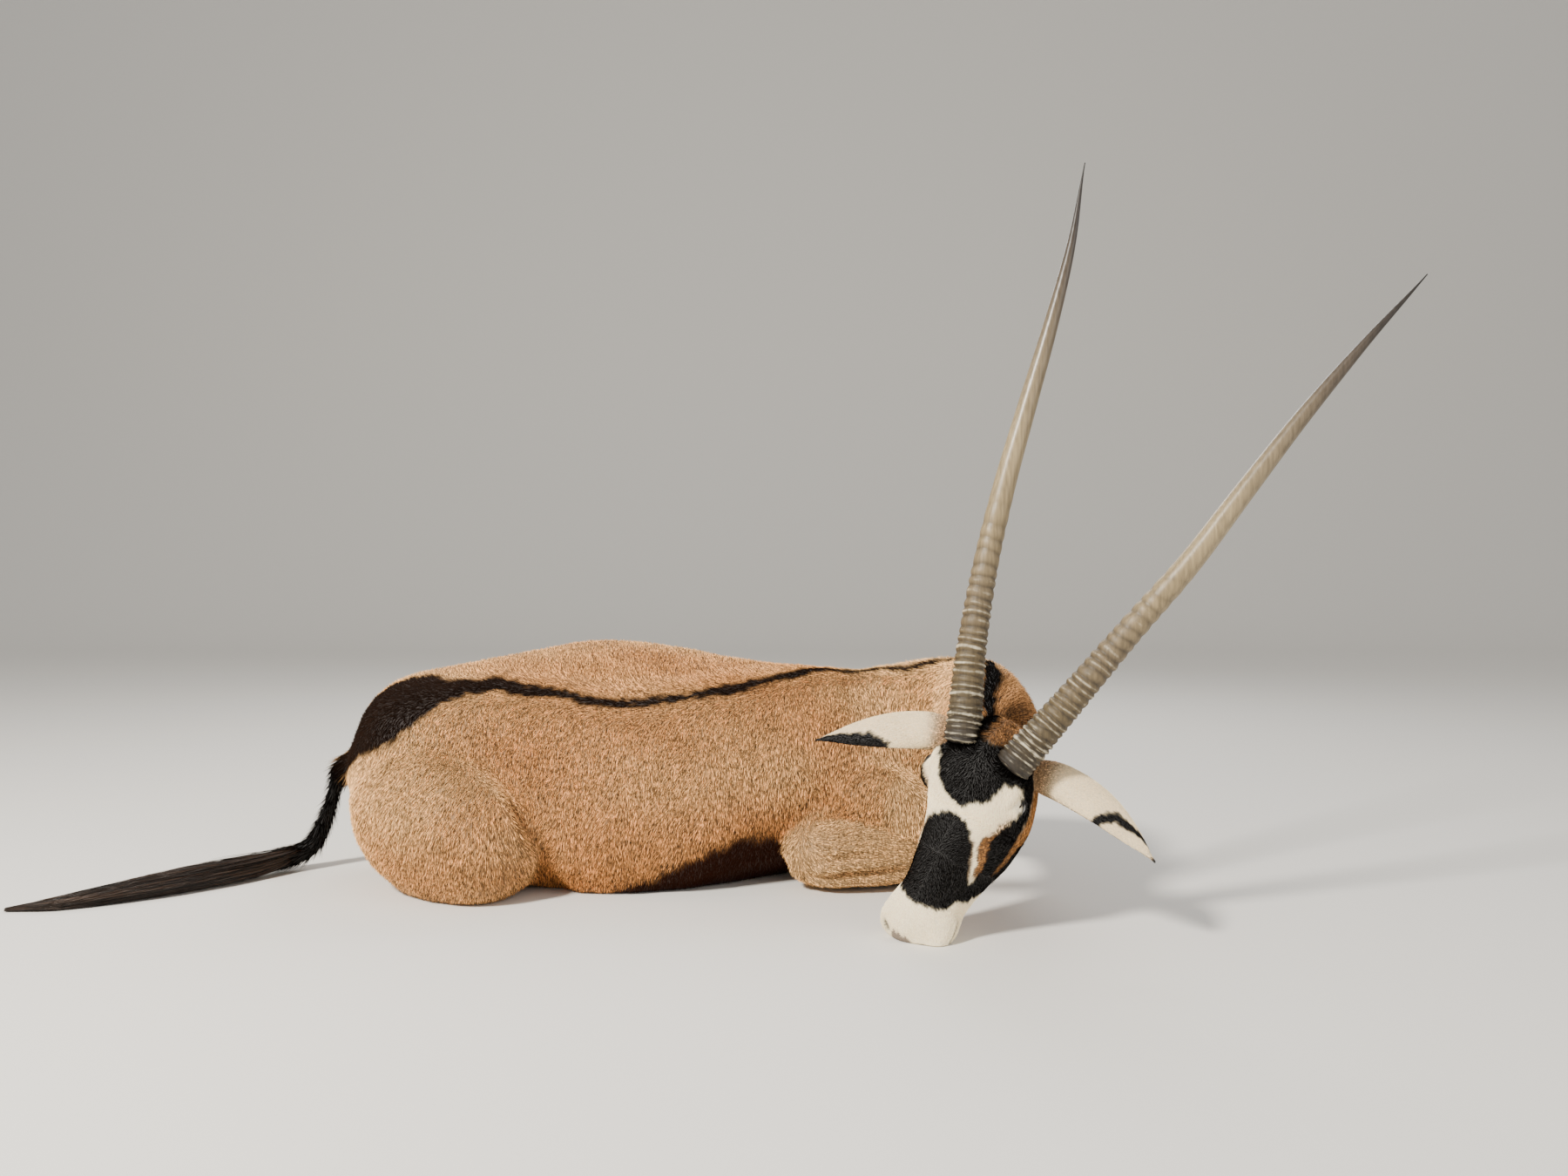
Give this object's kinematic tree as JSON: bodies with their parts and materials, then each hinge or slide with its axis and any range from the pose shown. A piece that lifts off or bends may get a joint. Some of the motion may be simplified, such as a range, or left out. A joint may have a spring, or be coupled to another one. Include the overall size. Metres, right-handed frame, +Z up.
{
  "type": "gemsbok",
  "caption": "Life-size still model of a gemsbok lying on its chest, legs folded, neck curled round, muzzle on the ground and long straight ringed horns upright.",
  "frame": {"origin": "middle of the bounding box, on the floor the animal lies on", "axes": "+X from the rump to the chest and the left horn, +Y away from the side that the face looks to, +Z up"},
  "size_m": [2.3446, 1.0786, 1.2791],
  "materials": {
    "coat": "short dense fawn hair lying flat over the hide",
    "face_coat": "very short white and black hair",
    "black_hair": "long coarse black hair",
    "horn": "ringed grey-brown horn, smooth and darker towards the tip",
    "hoof": "dull dark hoof horn",
    "eye": "moist dark eye"
  },
  "bodies": {
    "root": {"torso": "coat", "neck_lower": "coat", "neck_upper": "coat", "head": "face_coat", "ear_right": "face_coat", "ear_left": "face_coat", "eye_right": "eye", "eye_left": "eye", "horn_right": "horn", "horn_left": "horn", "hindleg_right": "coat", "hindleg_left": "coat", "foreleg_right": "coat", "foreleg_left": "coat", "tail": "black_hair", "tail_tuft": "black_hair", "hoof_hind_right_outer": "hoof", "hoof_hind_right_inner": "hoof", "hoof_hind_left_outer": "hoof", "hoof_hind_left_inner": "hoof", "hoof_fore_right_outer": "hoof", "hoof_fore_right_inner": "hoof", "hoof_fore_left_outer": "hoof", "hoof_fore_left_inner": "hoof"}
  },
  "joints": []
}
